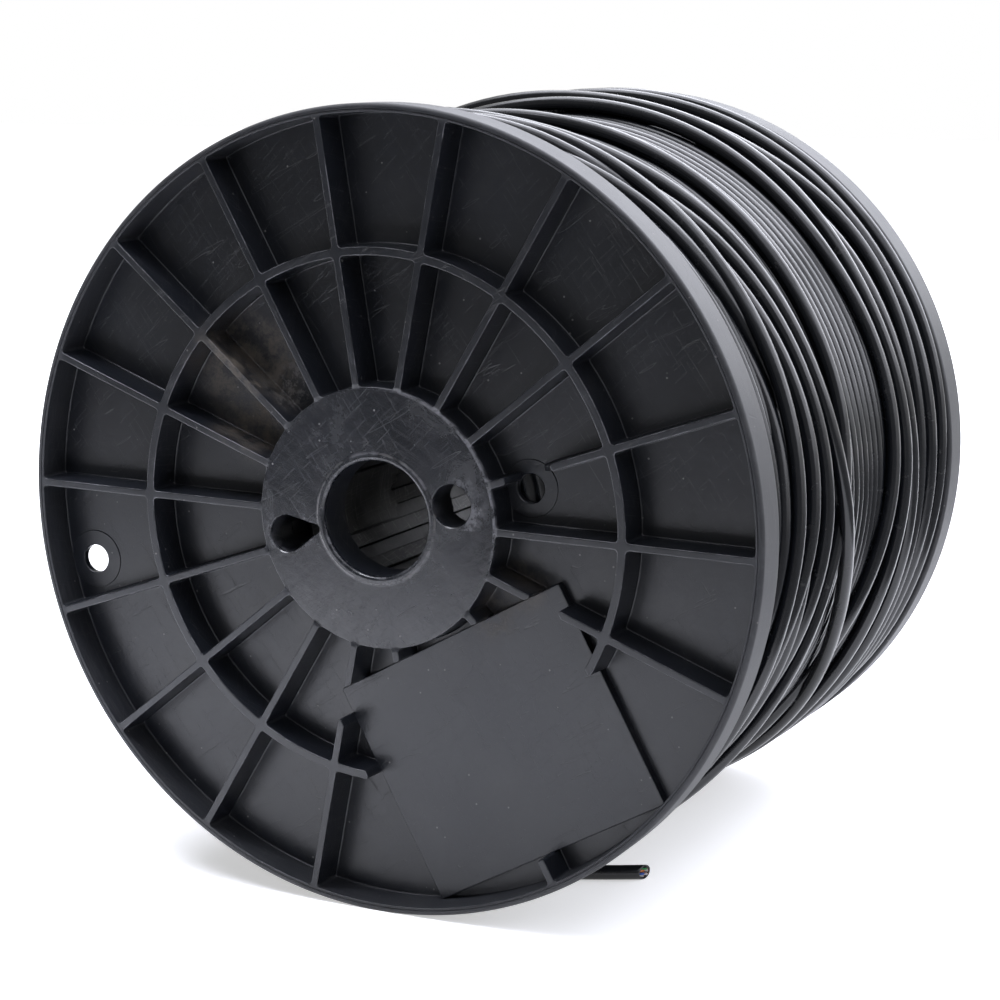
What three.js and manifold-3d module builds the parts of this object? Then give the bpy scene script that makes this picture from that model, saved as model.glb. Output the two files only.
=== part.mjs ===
// Reel of outdoor ethernet cable: two ribbed moulded flanges on a barrel, wound full of cable.
// Millimetres, +Z up. The drum lies on its rims with its axis along Y. The origin is on the
// floor, under the middle of the drum, and the cable's loose end leaves towards +X.
import * as THREE from 'three';
import { mergeVertices } from 'three/addons/utils/BufferGeometryUtils.js';
import Module from 'manifold-3d';

const wasm = await Module();
wasm.setup();

// ---------------------------------------------------------------- driving dimensions
// Reel
const flangeDiameter = 380;
const overallWidth = 310.7; // over the two outer faces
const clearance = 0.3; // between pieces that touch
const rimSides = 60; // a flat of the rim, never a corner, faces the floor
const hubSides = 40;

// Flange: rim, web and hub
const rimWall = 4;
const rimDraft = 0.7; // what the rim's wall gains from its front edge to the web
const rimFrontInset = 2.4; // rounded outer edge, radially
const rimFrontRun = 2.9; // the same edge, along the axis
const rimBackEdge = 2;
const pocketDepth = 17.5; // from the outer face to the web
const webThickness = 3;
const hubDiameter = 123;
const hubRecess = 0.5; // of the hub's face below the ribs' tops
const hubPlateThickness = 4;
const hubEdge = 0.8;
const boreDiameter = 54.6;
const boreWall = 3.2;

// Flange: ribs
const ribCount = 18;
const firstRibAngle = -1; // degrees, anticlockwise from +X as seen on the outer face
const ribThickness = 3.4;
const ribDraft = 0.8; // what a rib or the ring gains in thickness down to the web
const ringDiameter = 247.2; // middle of the ring's wall
const ringThickness = 4;

// Flange: the rib beside the start hole stops short and starts again
const gapRib = 1; // counted from the first rib
const gapStart = 70;
const gapStartFoot = 71.4;
const gapEnd = 94;
const gapEndFoot = 83;

// Flange: holes, as diameter, radius of the centre and angle
const pinHoleDiameter = 20;
const pinHoleAt = 40.2;
const pinHoleAngle = 13.2;
const slotDiameter = 17.8; // round end of the tapered slot
const slotTipDiameter = 4.4;
const slotAt = 49; // middle of the round end
const slotTipAt = 33.2; // middle of the tip
const slotAngle = 193;
const holeTubeWall = 2.5;
const holeTubeShort = 1.5; // the holes' tubes end this far before the web's inner face
const startHoleDiameter = 13.8;
const startHoleAt = 73.5;
const startHoleAngle = 13.6;
const startPadDiameter = 27;
const endHoleDiameter = 14;
const endHoleAt = 172;
const endHoleAngle = 192.4;
const endPadDiameter = 28.8;
const padHeight = 0.4;

// Flange: raised plate for the label, square to the direction of its middle
const plateWidth = 128.6; // across that direction
const plateInner = 63.8; // distance of the inner edge from the axis
const plateOuter = 174;
const plateAngle = 298.8;
const plateHeight = 4.5;

// Barrel
const barrelDiameter = 130;
const barrelWall = 7.5;
const barCount = 24;
const firstBarAngle = 14;
const barWidth = 7.8;
const barHeight = 2.3;
const barEndMargin = 3; // between a bar's end and the spigot
const spigotWall = 3;
const spigotLength = 10;
const landFrom = 176; // smooth land over the bars, in degrees
const landTo = 204;
const landLength = 86;

// Cable
const cableDiameter = 7.2;
const turnPitch = 10;
const windingDiameter = 376; // over the last layer's turns
const lastLayerRise = 5; // of those turns over the layer below
const turnGroove = 2.4;
const valleyFrom = 116; // the last layer is missing between these, from the near flange
const valleyTo = 180;
const nearGroupSink = 2.5; // of the turns before the valley, apart from the one that ends loose
const endGrooves = 4;
const endGrooveDepth = 1.6;
const windingSides = 40;
const tailTurn = 5; // the turn that ends as the loose end, counted from the near flange
const tailReach = 54;
const tailHeading = 24.5; // degrees from +X towards the far flange
const tailBow = 1;
const cordSides = 10;
const cordStep = 2; // in cable diameters

// ---------------------------------------------------------------- sizes that follow
const flangeRadius = flangeDiameter / 2;
const axisHeight = flangeRadius * Math.cos(Math.PI / rimSides);
const flangeDepth = pocketDepth + webThickness;
const rimInner = flangeRadius - rimWall;
const hubRadius = hubDiameter / 2;
const boreRadius = boreDiameter / 2;
const tubeRadius = boreRadius + boreWall;
const spigotRadius = barrelDiameter / 2 - barrelWall - clearance;
const root = 1; // how far a rib, ring or plate runs into the wall that carries it
const past = 1; // how far a cutter runs past the face that it cuts

// ---------------------------------------------------------------- helpers
function solid(geometry) {
  const bare = geometry.clone();
  bare.deleteAttribute('normal');
  bare.deleteAttribute('uv');
  const merged = mergeVertices(bare);
  return new wasm.Manifold(new wasm.Mesh({
    numProp: 3,
    vertProperties: new Float32Array(merged.attributes.position.array),
    triVerts: new Uint32Array(merged.index.array),
  }));
}

function toGeometry(body) {
  const mesh = body.getMesh();
  const geometry = new THREE.BufferGeometry();
  geometry.setAttribute('position', new THREE.BufferAttribute(mesh.vertProperties, 3));
  geometry.setIndex(new THREE.BufferAttribute(mesh.triVerts, 1));
  geometry.computeVertexNormals();
  return geometry;
}

function radians(degrees) {
  return THREE.MathUtils.degToRad(degrees);
}

// Corner radius of a turned hole whose flats still clear a circle
function aroundCircle(radius, sides) {
  return radius / Math.cos(Math.PI / sides);
}

// Ring turned about the drum's axis from a closed profile of [radius, distance along the axis],
// listed so that the material lies on its right
function turned(profile, sides) {
  const points = [...profile, profile[0]].map(([radius, along]) => new THREE.Vector2(radius, along));
  return solid(new THREE.LatheGeometry(points.reverse(), sides, Math.PI / sides, 2 * Math.PI));
}

// Prism whose outline lies in the flange's plane, from one distance along the axis to another
function prism(outline, from, to) {
  const geometry = new THREE.ExtrudeGeometry(outline, {
    depth: to - from,
    bevelEnabled: false,
    curveSegments: hubSides / 4,
  });
  return solid(geometry.rotateX(Math.PI / 2).translate(0, to, 0));
}

function polygon(points) {
  return new THREE.Shape(points.map(([x, y]) => new THREE.Vector2(x, y)));
}

function disc(radius) {
  return new THREE.Shape().absarc(0, 0, radius, 0, 2 * Math.PI);
}

// Outline of two unequal circles and their common tangents, from the origin along +x
function taperedSlot(radius, tipRadius, length) {
  const tangent = Math.acos((radius - tipRadius) / length);
  const outline = new THREE.Shape();
  outline.absarc(0, 0, radius, tangent, 2 * Math.PI - tangent);
  outline.absarc(length, 0, tipRadius, -tangent, tangent);
  return outline;
}

// Turned by an angle about the drum's axis, anticlockwise as seen on the outer face
function atAngle(body, degrees) {
  return body.rotate([0, -degrees, 0]);
}

function placed(body, radius, degrees) {
  return atAngle(body.translate([radius, 0, 0]), degrees);
}

function united(bodies) {
  return bodies.reduce((sum, body) => sum.add(body));
}

// ---------------------------------------------------------------- flange
// The outer face is at y = 0 and the wound cable is on the +y side.
function rim() {
  return turned([
    [rimInner, 0],
    [rimInner - rimDraft, pocketDepth],
    [rimInner - rimDraft - root, flangeDepth],
    [flangeRadius - rimBackEdge, flangeDepth],
    [flangeRadius - 0.3 * rimBackEdge, flangeDepth - 0.3 * rimBackEdge],
    [flangeRadius, flangeDepth - rimBackEdge],
    [flangeRadius, rimFrontRun],
    [flangeRadius - 0.3 * rimFrontInset, 0.3 * rimFrontRun],
    [flangeRadius - rimFrontInset, 0],
  ], rimSides);
}

// Web, hub cup, bore tube and the spigot that the barrel fits over
function webAndHub() {
  const spigotInner = spigotRadius - spigotWall;
  const plateBack = hubRecess + hubPlateThickness;
  return turned([
    [boreRadius, 0],
    [boreRadius, flangeDepth],
    [tubeRadius, flangeDepth],
    [tubeRadius, plateBack],
    [spigotInner, plateBack],
    [spigotInner, flangeDepth + spigotLength],
    [spigotRadius, flangeDepth + spigotLength],
    [spigotRadius, flangeDepth],
    [rimInner + root, flangeDepth],
    [rimInner + root, pocketDepth],
    [hubRadius, pocketDepth],
    [hubRadius, hubRecess + hubEdge],
    [hubRadius - hubEdge, hubRecess],
    [tubeRadius, hubRecess],
    [tubeRadius, 0],
  ], hubSides);
}

function ring() {
  const middle = ringDiameter / 2;
  const top = ringThickness / 2;
  const foot = top + ribDraft / 2;
  return turned([
    [middle - top, 0],
    [middle - foot, pocketDepth + root],
    [middle + foot, pocketDepth + root],
    [middle + top, 0],
  ], hubSides);
}

// One rib along +x, from the hub's wall to the rim's
function rib() {
  const from = hubRadius - hubEdge;
  const to = rimInner + root;
  const top = ribThickness / 2;
  const foot = top + ribDraft / 2;
  const section = polygon([[top, 0], [foot, pocketDepth + root], [-foot, pocketDepth + root], [-top, 0]]);
  const geometry = new THREE.ExtrudeGeometry(section, { depth: to - from, bevelEnabled: false });
  return solid(geometry.rotateY(Math.PI / 2).translate(from, 0, 0));
}

// What is missing from the rib beside the start hole, between its sloping ends
function ribGap() {
  const slope = (gapEnd - gapEndFoot) / pocketDepth;
  const width = ribThickness + ribDraft + 2 * past;
  const side = polygon([
    [gapStart, -past],
    [gapEnd + slope * past, -past],
    [gapEndFoot, pocketDepth],
    [gapStartFoot, pocketDepth],
  ]);
  const geometry = new THREE.ExtrudeGeometry(side, { depth: width, bevelEnabled: false });
  return solid(geometry.translate(0, 0, -width / 2));
}

function ribs() {
  const pitch = 360 / ribCount;
  const bodies = [];
  for (let i = 0; i < ribCount; i += 1) {
    const body = i === gapRib ? rib().subtract(ribGap()) : rib();
    bodies.push(atAngle(body, firstRibAngle + i * pitch));
  }
  return united(bodies);
}

function labelRectangle() {
  const half = plateWidth / 2;
  return polygon([[plateInner, -half], [plateOuter, -half], [plateOuter, half], [plateInner, half]]);
}

function holeTubes() {
  const back = flangeDepth - holeTubeShort;
  const pin = prism(disc(pinHoleDiameter / 2 + holeTubeWall), hubRecess + root, back);
  const outline = taperedSlot(
    slotDiameter / 2 + holeTubeWall,
    slotTipDiameter / 2 + holeTubeWall,
    slotAt - slotTipAt,
  );
  const slot = prism(outline, hubRecess + root, back);
  return placed(pin, pinHoleAt, pinHoleAngle)
    .add(placed(slot.rotate([0, 180, 0]), slotAt, slotAngle));
}

function holePads() {
  const start = prism(disc(startPadDiameter / 2), pocketDepth - padHeight, pocketDepth + root);
  const end = prism(disc(endPadDiameter / 2), pocketDepth - padHeight, pocketDepth + root);
  return placed(start, startHoleAt, startHoleAngle).add(placed(end, endHoleAt, endHoleAngle));
}

// The slot's round end also notches the spigot
function holes() {
  const from = -past;
  const to = flangeDepth + spigotLength + past;
  const pin = prism(disc(pinHoleDiameter / 2), from, to);
  const slot = prism(taperedSlot(slotDiameter / 2, slotTipDiameter / 2, slotAt - slotTipAt), from, to);
  const start = prism(disc(startHoleDiameter / 2), from, to);
  const end = prism(disc(endHoleDiameter / 2), from, to);
  return united([
    placed(pin, pinHoleAt, pinHoleAngle),
    placed(slot.rotate([0, 180, 0]), slotAt, slotAngle),
    placed(start, startHoleAt, startHoleAngle),
    placed(end, endHoleAt, endHoleAngle),
  ]);
}

function flange() {
  const plateFace = pocketDepth - plateHeight;
  const cleared = atAngle(prism(labelRectangle(), -past, plateFace), plateAngle);
  const plate = atAngle(prism(labelRectangle(), plateFace, pocketDepth + root), plateAngle);
  return ribs()
    .add(ring())
    .subtract(cleared)
    .add(plate)
    .add(holePads())
    .add(webAndHub())
    .add(rim())
    .add(holeTubes())
    .subtract(holes());
}

// ---------------------------------------------------------------- barrel
const barrelFrom = flangeDepth + clearance;
const barrelTo = overallWidth - barrelFrom;

// Sector of the barrel's inner wall, as high as its bars
function land() {
  const outer = barrelDiameter / 2 - barrelWall + root;
  const inner = barrelDiameter / 2 - barrelWall - barHeight;
  const outline = new THREE.Shape();
  outline.absarc(0, 0, outer, radians(landFrom), radians(landTo), false);
  outline.absarc(0, 0, inner, radians(landTo), radians(landFrom), true);
  const from = flangeDepth + spigotLength + barEndMargin;
  return prism(outline, from, from + landLength);
}

function barrel() {
  const outer = barrelDiameter / 2;
  const inner = outer - barrelWall;
  const sides = 2 * barCount;
  const innerCorner = aroundCircle(inner, sides);
  const tube = turned([
    [innerCorner, barrelFrom],
    [innerCorner, barrelTo],
    [outer, barrelTo],
    [outer, barrelFrom],
  ], sides);
  const from = flangeDepth + spigotLength + barEndMargin;
  const half = barWidth / 2;
  const section = polygon([
    [inner - barHeight, -half],
    [inner + root, -half],
    [inner + root, half],
    [inner - barHeight, half],
  ]);
  const bar = prism(section, from, overallWidth - from);
  const bars = [];
  for (let i = 0; i < barCount; i += 1) {
    bars.push(atAngle(bar, firstBarAngle + i * 360 / barCount));
  }
  return tube.add(united(bars)).add(land());
}

// ---------------------------------------------------------------- cable
const turns = Math.round((barrelTo - barrelFrom) / turnPitch);
const windingPitch = (barrelTo - barrelFrom) / turns;

// Turns of the last layer stand over the one below, apart from the valley between them, and the
// turns before the valley lie lower
function sinkAt(along) {
  return along < flangeDepth + valleyFrom ? nearGroupSink : 0;
}

function turnRadius(along, index) {
  const inValley = along > flangeDepth + valleyFrom && along < flangeDepth + valleyTo;
  const raised = !inValley && index % 2 === 1;
  const sink = index === tailTurn ? 0 : sinkAt(along);
  return windingDiameter / 2 - (raised ? 0 : lastLayerRise) - sink;
}

function windingEnd(bore, crown, face, inward) {
  const pitch = (crown - bore) / endGrooves;
  const points = [[bore, face]];
  for (let i = 0; i < endGrooves; i += 1) {
    points.push([bore + (i + 0.5) * pitch, face]);
    points.push([bore + (i + 1) * pitch, face + inward * endGrooveDepth]);
  }
  return points;
}

function winding() {
  const bore = aroundCircle(barrelDiameter / 2 + clearance, windingSides);
  const crown = windingDiameter / 2 - lastLayerRise - turnGroove;
  const nearEnd = windingEnd(bore, crown, barrelFrom, 1);
  const farEnd = windingEnd(bore, crown, barrelTo, -1).reverse();
  const outside = [];
  for (let i = 0; i < turns; i += 1) {
    const along = barrelFrom + (i + 0.5) * windingPitch;
    outside.push([turnRadius(along, i), along]);
    if (i < turns - 1) outside.push([crown - sinkAt(along), along + windingPitch / 2]);
  }
  return turned([...nearEnd, ...outside, ...farEnd].reverse(), windingSides);
}

// The loose end leaves the winding where it clears the last layer, and lies on the floor
function tailRoute() {
  const rest = cableDiameter / 2;
  const reach = windingDiameter / 2 + clearance + rest;
  const rise = Math.acos(Math.min(1, (axisHeight - rest) / reach));
  const along = barrelFrom + (tailTurn + 0.5) * windingPitch;
  const start = new THREE.Vector3(reach * Math.sin(rise), along, axisHeight - reach * Math.cos(rise));
  const heading = radians(tailHeading);
  const ahead = new THREE.Vector3(Math.cos(heading), Math.sin(heading), 0);
  const aside = new THREE.Vector3(Math.sin(heading), -Math.cos(heading), 0);
  const middle = start.clone().addScaledVector(ahead, tailReach / 2).addScaledVector(aside, tailBow);
  const end = start.clone().addScaledVector(ahead, tailReach);
  return new THREE.CatmullRomCurve3([start, middle.setZ(rest), end.setZ(rest)]);
}

function tail() {
  const path = tailRoute();
  const section = disc(cableDiameter / 2).getPoints(cordSides / 2).slice(0, cordSides);
  return new THREE.ExtrudeGeometry(new THREE.Shape(section), {
    extrudePath: path,
    steps: Math.ceil(path.getLength() / (cordStep * cableDiameter)),
    bevelEnabled: false,
  });
}

// ---------------------------------------------------------------- assembly
const blackPlastic = new THREE.MeshStandardMaterial({ color: 0x2b2d30, roughness: 0.55, metalness: 0 });
const darkPlastic = new THREE.MeshStandardMaterial({ color: 0x232426, roughness: 0.65, metalness: 0 });
const cableJacket = new THREE.MeshStandardMaterial({ color: 0x151617, roughness: 0.4, metalness: 0 });

const reel = new THREE.Group();
const drum = new THREE.Group();
drum.position.set(0, -overallWidth / 2, axisHeight);
reel.add(drum);

function addTo(parent, name, geometry, material) {
  const mesh = new THREE.Mesh(geometry, material);
  mesh.name = name;
  parent.add(mesh);
  return mesh;
}

const flangeGeometry = toGeometry(flange());
addTo(drum, 'near_flange', flangeGeometry, blackPlastic);
const farFlange = addTo(drum, 'far_flange', flangeGeometry, blackPlastic);
farFlange.position.y = overallWidth;
farFlange.rotation.z = Math.PI;
addTo(drum, 'core_barrel', toGeometry(barrel()), darkPlastic);
addTo(drum, 'cable_winding', toGeometry(winding()), cableJacket);
const looseEnd = addTo(reel, 'cable_tail', tail(), cableJacket);
looseEnd.position.y = -overallWidth / 2;

export default reel;
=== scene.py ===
"""Reel of outdoor ethernet cable: two ribbed black flanges on a hollow barrel, wound full of cable.

Metres, +Z up. The drum's axis runs along Y, the near flange faces -Y and the drum stands on its
rims with the origin on the floor under its middle. Shapes are worked out in millimetres about
the drum's axis, with the depth measured from the near flange's outer face, and are placed by
`to_row`. An outline or plan is a list of (x, height) about the axis.
"""
import math
from contextlib import contextmanager
from functools import partial
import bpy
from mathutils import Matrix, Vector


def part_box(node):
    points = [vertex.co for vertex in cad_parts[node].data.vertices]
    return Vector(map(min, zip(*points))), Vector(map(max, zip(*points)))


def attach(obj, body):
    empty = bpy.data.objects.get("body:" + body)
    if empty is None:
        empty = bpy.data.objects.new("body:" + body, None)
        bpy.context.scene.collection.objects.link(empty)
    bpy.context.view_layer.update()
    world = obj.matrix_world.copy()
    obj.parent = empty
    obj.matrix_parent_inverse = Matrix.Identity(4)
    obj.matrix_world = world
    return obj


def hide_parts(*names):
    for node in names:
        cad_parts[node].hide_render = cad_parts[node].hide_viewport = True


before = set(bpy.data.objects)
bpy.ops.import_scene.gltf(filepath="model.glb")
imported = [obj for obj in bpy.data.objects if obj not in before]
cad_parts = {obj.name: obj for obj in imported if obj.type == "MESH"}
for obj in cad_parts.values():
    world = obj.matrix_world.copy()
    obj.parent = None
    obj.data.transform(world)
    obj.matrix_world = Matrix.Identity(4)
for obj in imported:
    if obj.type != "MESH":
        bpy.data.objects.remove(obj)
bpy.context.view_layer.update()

from types import SimpleNamespace

import bmesh
import bpy
import numpy as np
from mathutils import Vector
from mathutils.geometry import delaunay_2d_cdt

bl_info = {
    "name": "Cable Reel",
    "version": (1, 0, 0),
    "blender": (4, 5, 0),
    "location": "3D View > Sidebar > Cable Reel",
    "description": "Builds a moulded reel wound full of round black cable",
    "category": "Object",
}

MM = 0.001
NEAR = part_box("near_flange")
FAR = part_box("far_flange")
WIDTH = (FAR[1].y - NEAR[0].y) / MM
AXIS_HEIGHT = (NEAR[0].z + NEAR[1].z) / 2 / MM

# Middles of the flange's holes, as (distance from the axis, degrees from +X)
START_HOLE, END_HOLE, PIN_HOLE, SLOT = (73.5, 13.6), (172, 192.4), (40.2, 13.2), (49, 193)
SLOT_REACH = 15.8  # from the middle of the slot's round end to that of its tip
GAP_RIB, GAP = 1, (70, 94)  # the interrupted rib, and the distances between which it is missing
WHITE = (1, 1, 1, 1)


# ------------------------------------------------------------------ sizes and colours
def length(label, text, millimetres):
    return bpy.props.FloatProperty(
        name=label, description=text, default=millimetres * MM, min=0, unit="LENGTH", precision=5
    )


def angle(label, text, degrees):
    return bpy.props.FloatProperty(
        name=label, description=text, default=math.radians(degrees), unit="ROTATION"
    )


def count(label, text, number):
    return bpy.props.IntProperty(name=label, description=text, default=number, min=1)


def colour(label, text, rgb):
    return bpy.props.FloatVectorProperty(
        name=label, description=text, default=rgb, size=3, min=0, max=1, subtype="COLOR"
    )


def share(label, text, value, most=1.0):
    return bpy.props.FloatProperty(
        name=label, description=text, default=value, min=0, max=most, subtype="FACTOR"
    )


def power(label, text, watts):
    return bpy.props.FloatProperty(
        name=label, description=text, default=watts, min=0, unit="POWER"
    )


def vector(label, text, value, kind):
    return bpy.props.FloatVectorProperty(
        name=label, description=text, default=value, size=3, subtype=kind
    )


class FlangeSizes(bpy.types.PropertyGroup):
    """Sizes of one moulded flange"""
    diameter: length("Diameter", "Over the rim", 380)
    depth: length("Depth", "From the outer face to the back of the web", 20.5)
    pocket: length("Pocket depth", "From the outer face to the web", 17.5)
    rim_wall: length("Rim wall", "Thickness of the rim at its front edge", 4)
    rim_rounding: length("Rim rounding", "Rounded outer edge of the rim", 1.9)
    draft: length("Draft", "What a wall gains on each side down to the web", 0.35)
    edge: length("Edge radius", "Rounding of the ribs' top edges", 0.45)
    fillet: length("Foot fillet", "Fillet where a wall meets the web", 0.6)
    corner: length("Pocket corner", "Radius of a pocket's corners", 1.8)
    hub_diameter: length("Hub diameter", "Disc that carries the bore", 123)
    hub_recess: length("Hub recess", "Of the hub's face below the ribs' tops", 0.5)
    hub_plate: length("Hub plate", "Thickness of the hub's disc", 4)
    bore: length("Bore", "Diameter of the spindle's bore", 54.6)
    bore_lip: length("Bore lip", "Diameter of the raised lip round the bore", 61)
    ribs: count("Ribs", "Radial ribs of a flange", 18)
    first_rib: angle("First rib", "Direction of the first rib from +X", -1)
    rib: length("Rib thickness", "At its top", 3.4)
    ring: length("Ring diameter", "Middle of the ring's wall", 247.2)
    ring_wall: length("Ring thickness", "At its top", 4)
    plate_width: length("Plate width", "Raised bare plate, across its direction", 128.6)
    plate_inner: length("Plate inner edge", "Distance from the axis", 63.8)
    plate_outer: length("Plate outer edge", "Distance from the axis", 174)
    plate_height: length("Plate height", "Of the bare plate over the web", 4.5)
    plate_angle: angle("Plate direction", "Middle of the bare plate from +X", 298.8)
    spigot: length("Spigot length", "How far the flange runs into the barrel", 10)


class BarrelSizes(bpy.types.PropertyGroup):
    """Sizes of the hollow barrel"""
    diameter: length("Diameter", "Outside, under the cable", 130)
    wall: length("Wall", "Thickness between the bars", 7.5)
    bars: count("Bars", "Bars inside the barrel", 24)
    first_bar: angle("First bar", "Direction of the first bar from +X", 14)
    bar_width: length("Bar width", "Of one bar", 7.8)
    bar_height: length("Bar height", "Of one bar over the wall", 2.3)
    clearance: length("Clearance", "Between the barrel and the flanges' webs", 0.3)
    land_length: length("Land length", "Smooth land over the bars, from the near end", 86)


class CableSizes(bpy.types.PropertyGroup):
    """Sizes of the cable and of the way it is wound"""
    diameter: length("Diameter", "Over the jacket", 7.2)
    jacket: length("Jacket wall", "Thickness of the jacket", 0.7)
    wire: length("Wire diameter", "Over one wire's insulation", 0.98)
    lower: length("Lower layer", "Radius of the lower layer's centre line", 179.2)
    upper: length("Upper layer", "Radius of the last layer's centre line", 185.8)
    pitch: length("Pitch", "Between turns of the lower layer", 7.75)
    unevenness: length("Unevenness", "How far the turns wander", 0.5)
    sides: count("Sides", "Facets round the cable", 12)
    seed: count("Seed", "Of the wandering", 7)


class Finishes(bpy.types.PropertyGroup):
    """Colours of the plastics, the jacket, the wires and the dirt"""
    plastic: colour("Flange plastic", "Black moulded plastic", (0.0052, 0.0062, 0.0086))
    barrel: colour("Barrel plastic", "Dull dark plastic", (0.009, 0.009, 0.010))
    jacket: colour("Jacket", "Black satin jacket", (0.0040, 0.0047, 0.0064))
    # Also painted on the hub's edge at the right as a painted highlight
    worn_and_highlight: colour("Worn edges", "Whitened plastic on rubbed edges", (0.13, 0.13, 0.14))
    dust: colour("Dust", "Pale dust and scuffs", (0.24, 0.23, 0.22))
    soil: colour("Soil", "Brown dirt between the inner ribs", (0.100, 0.083, 0.064))
    gloss: share("Gloss roughness", "Roughness of the moulded plastic", 0.32)


class StageSettings(bpy.types.PropertyGroup):
    """Floor, background, lamps and camera"""
    floor: colour("Floor", "Pale floor", (0.78, 0.78, 0.79))
    lift: share("Floor lift", "How much paler the floor is seen, shadow and all", 0.5)
    sky: share("Sky", "Strength of the plain background light", 0.14, 3)
    light: colour("Light", "Colour of the lamps", (0.88, 0.90, 1.0))
    top_lamp: power("Top lamp", "Power of the overhead lamp", 78)
    back_lamp: power("Back lamp", "Power of the panel behind", 88)
    side_lamp: power("Side lamp", "Power of the panel at the right", 28)
    front_lamp: power("Front lamp", "Power of the lamp at the right in front", 9)
    floor_lamp: power("Floor lamp", "Power of the lamp over the floor in front", 5.5)
    camera: vector("Camera", "Where the camera stands", (0.5473, -1.1533, 0.4080), "TRANSLATION")
    heading: vector("Heading", "Where the camera looks", (-0.4285, 0.8850, -0.1810), "DIRECTION")
    lens: bpy.props.FloatProperty(
        name="Lens", description="Focal length on a 36 mm sensor", default=90.26, min=10,
        unit="CAMERA",
    )


class ReelSettings(bpy.types.PropertyGroup):
    """Everything that the builders read"""
    flange: bpy.props.PointerProperty(type=FlangeSizes)
    barrel: bpy.props.PointerProperty(type=BarrelSizes)
    cable: bpy.props.PointerProperty(type=CableSizes)
    finish: bpy.props.PointerProperty(type=Finishes)
    stage: bpy.props.PointerProperty(type=StageSettings)


def settings():
    return bpy.context.scene.cable_reel


def in_mm(group):
    """A group's values by name, with its lengths in millimetres."""
    values = {name: getattr(group, name) for name in type(group).__annotations__}
    for name in values:
        if group.bl_rna.properties[name].unit == "LENGTH":
            values[name] /= MM
    return SimpleNamespace(**values)


# ------------------------------------------------------------------ places and small sums
def to_row(points):
    """Points as (x, depth, height) about the axis, in millimetres, to the frame in metres."""
    points = np.asarray(points, float).reshape(-1, 3)
    return (points + (0, -WIDTH / 2, AXIS_HEIGHT)) * MM


def circle(radius, steps, start=0.0):
    turn = start + np.arange(steps) * 2 * math.pi / steps
    return np.stack([radius * np.cos(turn), radius * np.sin(turn)], 1)


def polar(radius, degrees):
    turn = np.radians(degrees)
    return np.array([radius * np.cos(turn), radius * np.sin(turn)])


def arc(x, y, radius, degrees):
    """Points of an arc about a middle, at the given directions."""
    return [(x + radius * math.cos(t), y + radius * math.sin(t)) for t in np.radians(degrees)]


def axes(turn):
    """Unit vectors in a direction and a quarter turn on from it."""
    u = np.array([math.cos(turn), math.sin(turn)])
    return u, np.array([-u[1], u[0]])


def unit(vectors):
    """The same directions, one unit long."""
    return vectors / np.linalg.norm(vectors, axis=-1, keepdims=True)


def smooth(low, high, value):
    t = np.clip((value - low) / (high - low), 0, 1)
    return t * t * (3 - 2 * t)


def fbm(rng_seed, phase, harmonics, cycles):
    """Smooth wandering from -1 to 1 along a phase in turns."""
    rng = np.random.default_rng(rng_seed)
    total, weight = np.zeros_like(phase), 0.0
    for k in range(1, harmonics + 1):
        angles = 2 * math.pi * (k * cycles * phase * rng.uniform(0.7, 1.3) + rng.random())
        total += np.sin(angles) / k
        weight += 1 / k
    return total / weight


# ------------------------------------------------------------------ meshes and objects
@contextmanager
def editing(mesh):
    """A mesh opened for editing, and written back when that is done."""
    form = bmesh.new()
    form.from_mesh(mesh)
    yield form
    form.to_mesh(mesh)
    form.free()


def mesh_of(points, faces, name):
    """A mesh in metres whose faces point outwards."""
    mesh = bpy.data.meshes.new(name)
    mesh.from_pydata([tuple(p) for p in points], [], faces)
    with editing(mesh) as form:
        bmesh.ops.recalc_face_normals(form, faces=form.faces)
    return mesh


def object_of(mesh, name):
    piece = bpy.data.objects.new(name, mesh)
    bpy.context.scene.collection.objects.link(piece)
    return piece


def plain_mesh(piece):
    """The piece's shape with its modifiers, as a mesh of its own."""
    graph = bpy.context.evaluated_depsgraph_get()
    graph.update()
    return bpy.data.meshes.new_from_object(piece.evaluated_get(graph), depsgraph=graph)


def boolean(piece, other, operation):
    """Join another mesh to a piece, or cut it out, and throw the other away."""
    tool = object_of(other, "tool")
    modifier = piece.modifiers.new("Cut", "BOOLEAN")
    modifier.operation = operation
    modifier.solver = "MANIFOLD"
    modifier.object = tool
    result = plain_mesh(piece)
    if len(result.polygons) == 0:
        raise RuntimeError(f"the {operation.lower()} on {piece.name} left nothing")
    piece.modifiers.clear()
    old, piece.data = piece.data, result
    bpy.data.objects.remove(tool)
    bpy.data.meshes.remove(other)
    bpy.data.meshes.remove(old)


def joined(meshes, name):
    """One mesh of several closed shells."""
    result = bpy.data.meshes.new(name)
    with editing(result) as form:
        for mesh in meshes:
            form.from_mesh(mesh)
    for mesh in meshes:
        bpy.data.meshes.remove(mesh)
    return result


def shade(mesh, degrees=38):
    """Smooth shading with sharp edges where faces meet at more than an angle."""
    with editing(mesh) as form:
        for face in form.faces:
            face.smooth = True
        for edge in form.edges:
            edge.smooth = edge.is_manifold and edge.calc_face_angle(0) < math.radians(degrees)


def painted(mesh, *paints):
    """The mesh with these materials and no other."""
    mesh.materials.clear()
    for paint in paints:
        mesh.materials.append(paint)
    return mesh


def finish_piece(mesh, name, node):
    """An object of a finished mesh, attached to the root body, with the CAD part that it stands for
    hidden.
    """
    piece = object_of(mesh, name)
    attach(piece, "root")
    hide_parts(node)
    return piece


def vectors_of(mesh, what):
    """A vector of each vertex, as rows."""
    values = np.empty(len(mesh.vertices) * 3, np.float32)
    mesh.vertices.foreach_get(what, values)
    return values.reshape(-1, 3)


def set_attribute(mesh, name, values):
    layer = mesh.attributes.new(name, "FLOAT", "POINT")
    layer.data.foreach_set("value", values.astype(np.float32))


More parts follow.
